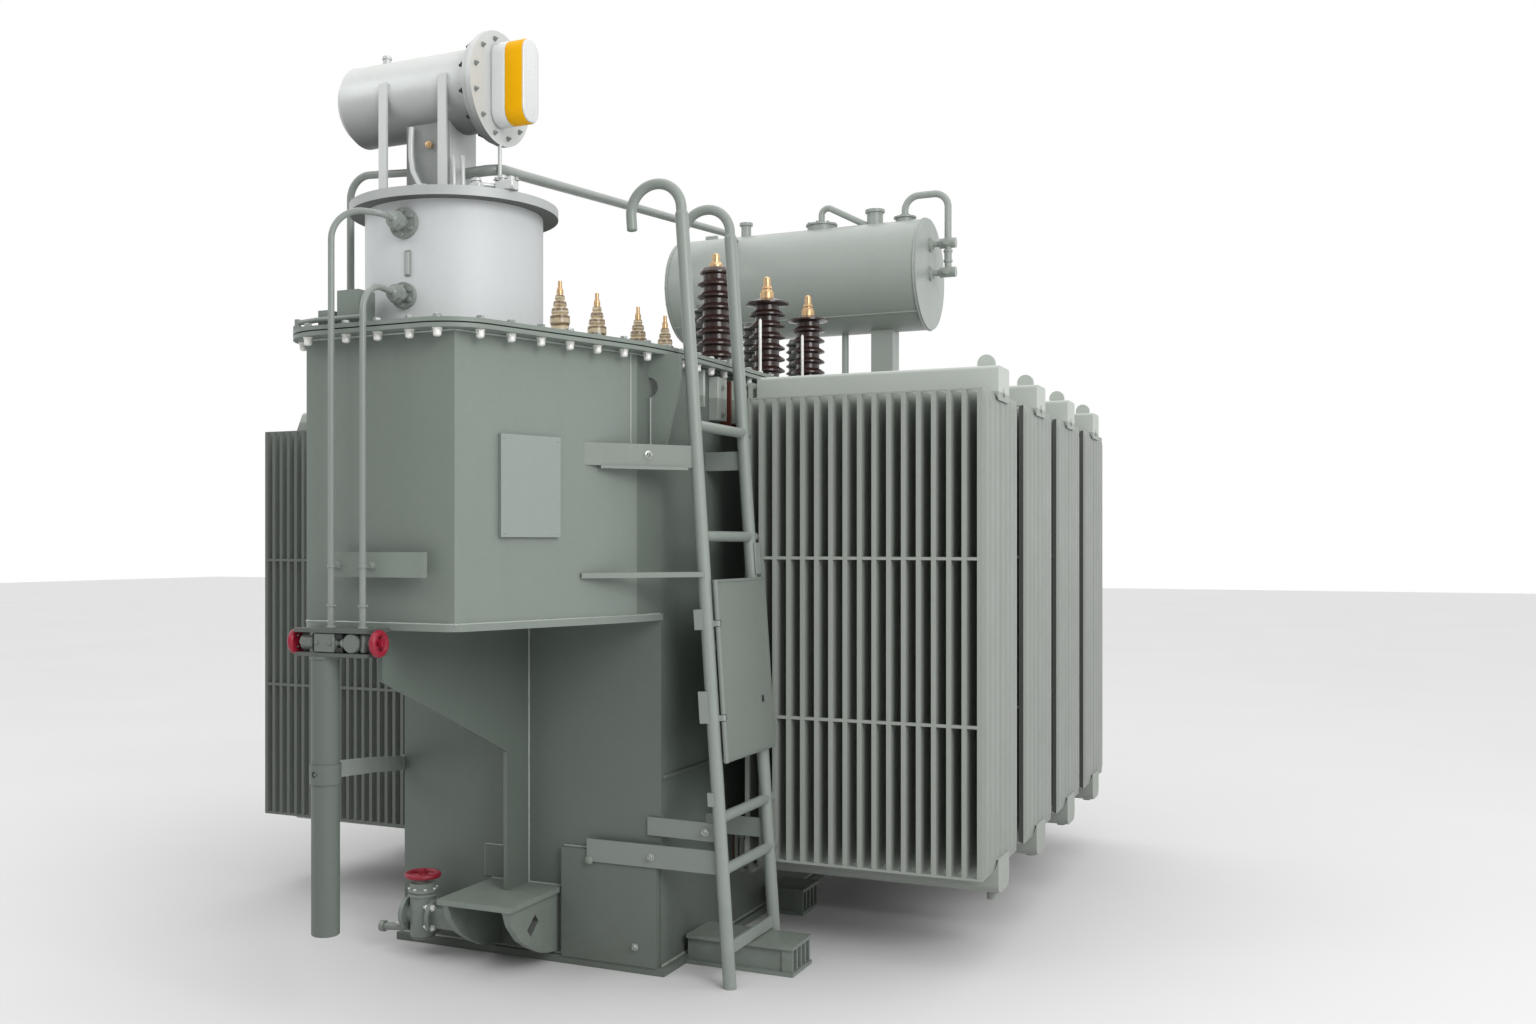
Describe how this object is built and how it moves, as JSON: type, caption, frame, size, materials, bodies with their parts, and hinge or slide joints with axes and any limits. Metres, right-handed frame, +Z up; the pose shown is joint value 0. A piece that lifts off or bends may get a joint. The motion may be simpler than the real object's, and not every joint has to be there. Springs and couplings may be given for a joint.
{
  "type": "oil-filled power transformer",
  "caption": "Oil-filled power transformer with tap changer nose, finned radiators on both sides, oil conservators, bushings and an access ladder with a hinged gate.",
  "frame": {"origin": "centre of the tank's underside, on the ground", "axes": "+Z up, -Y towards the tap changer nose, +X towards the ladder side"},
  "size_m": [2.942, 4.154, 3.119],
  "materials": {
    "tank_paint": "satin grey-green paint, light dust",
    "radiator_paint": "satin grey-green paint",
    "fitting_paint": "satin grey-green paint on tube and bar",
    "head_paint": "smooth silver-grey paint",
    "drum_paint": "smooth light grey paint",
    "gasket_black": "cork-rubber gasket edge",
    "bare_plate": "blank dull plate",
    "gauge_white": "white housing with a yellow band",
    "porcelain_brown": "dark brown glaze",
    "porcelain_tan": "tan glaze",
    "porcelain_grey": "dark grey glaze",
    "terminal_brass": "bright brass",
    "zinc_steel": "zinc plated steel",
    "wheel_red": "red enamel"
  },
  "bodies": {
    "main": {"aux_bushings": "porcelain_grey", "base_beams": "tank_paint", "base_plate": "tank_paint", "bushing_flanges": "zinc_steel", "bushing_terminals": "terminal_brass", "conservator_ends": "tank_paint", "conservator_shell": "tank_paint", "conservator_stubs": "tank_paint", "conservator_supports": "tank_paint", "cover_box": "tank_paint", "cover_gasket": "gasket_black", "drain_valve": "tank_paint", "drop_tube": "tank_paint", "drum_supports": "drum_paint", "earth_box": "tank_paint", "gauge_cap": "gauge_white", "hv_bushings": "porcelain_brown", "jacking_pads": "tank_paint", "ladder_brackets": "fitting_paint", "ladder_hooks": "fitting_paint", "ladder_rungs": "fitting_paint", "ladder_stiles": "fitting_paint", "lifting_lugs": "tank_paint", "lv_bushings": "porcelain_tan", "nameplate": "bare_plate", "pipe_bracket": "tank_paint", "pipe_equaliser": "fitting_paint", "pipe_level": "fitting_paint", "pipe_tap_lower": "fitting_paint", "pipe_tap_upper": "fitting_paint", "pipe_vent": "fitting_paint", "pocket_floor": "tank_paint", "pocket_gusset": "tank_paint", "radiator_valves_left": "radiator_paint", "radiator_valves_right": "radiator_paint", "radiators_left": "radiator_paint", "radiators_right": "radiator_paint", "switch_drum": "drum_paint", "switch_head": "head_paint", "switch_lid": "head_paint", "tank_cover": "tank_paint", "tank_flange": "tank_paint", "tank_lower": "tank_paint", "tank_upper": "tank_paint", "tube_strap": "tank_paint", "valve_shelf": "tank_paint"},
    "gate": {"ladder_gate": "fitting_paint"},
    "left_wheel": {"wheel_left": "wheel_red"},
    "right_wheel": {"wheel_right": "wheel_red"},
    "drain_wheel": {"wheel_drain": "wheel_red"}
  },
  "joints": [
    {"name": "gate_hinge", "type": "hinge", "parent": "main", "child": "gate", "pos_m": [0.72193, -1.469, 0.98503], "axis": [0.068, 0, -0.9977], "range_deg": [0, 150]},
    {"name": "left_wheel_turn", "type": "hinge", "parent": "main", "child": "left_wheel", "pos_m": [-0.2194, -2.34, 1.1085], "axis": [-1, 0, 0], "continuous": true},
    {"name": "right_wheel_turn", "type": "hinge", "parent": "main", "child": "right_wheel", "pos_m": [0.0649, -2.34, 1.1085], "axis": [1, 0, 0], "continuous": true},
    {"name": "drain_wheel_turn", "type": "hinge", "parent": "main", "child": "drain_wheel", "pos_m": [-0.338, -1.56, 0.2654], "axis": [0, 0, 1], "continuous": true}
  ]
}
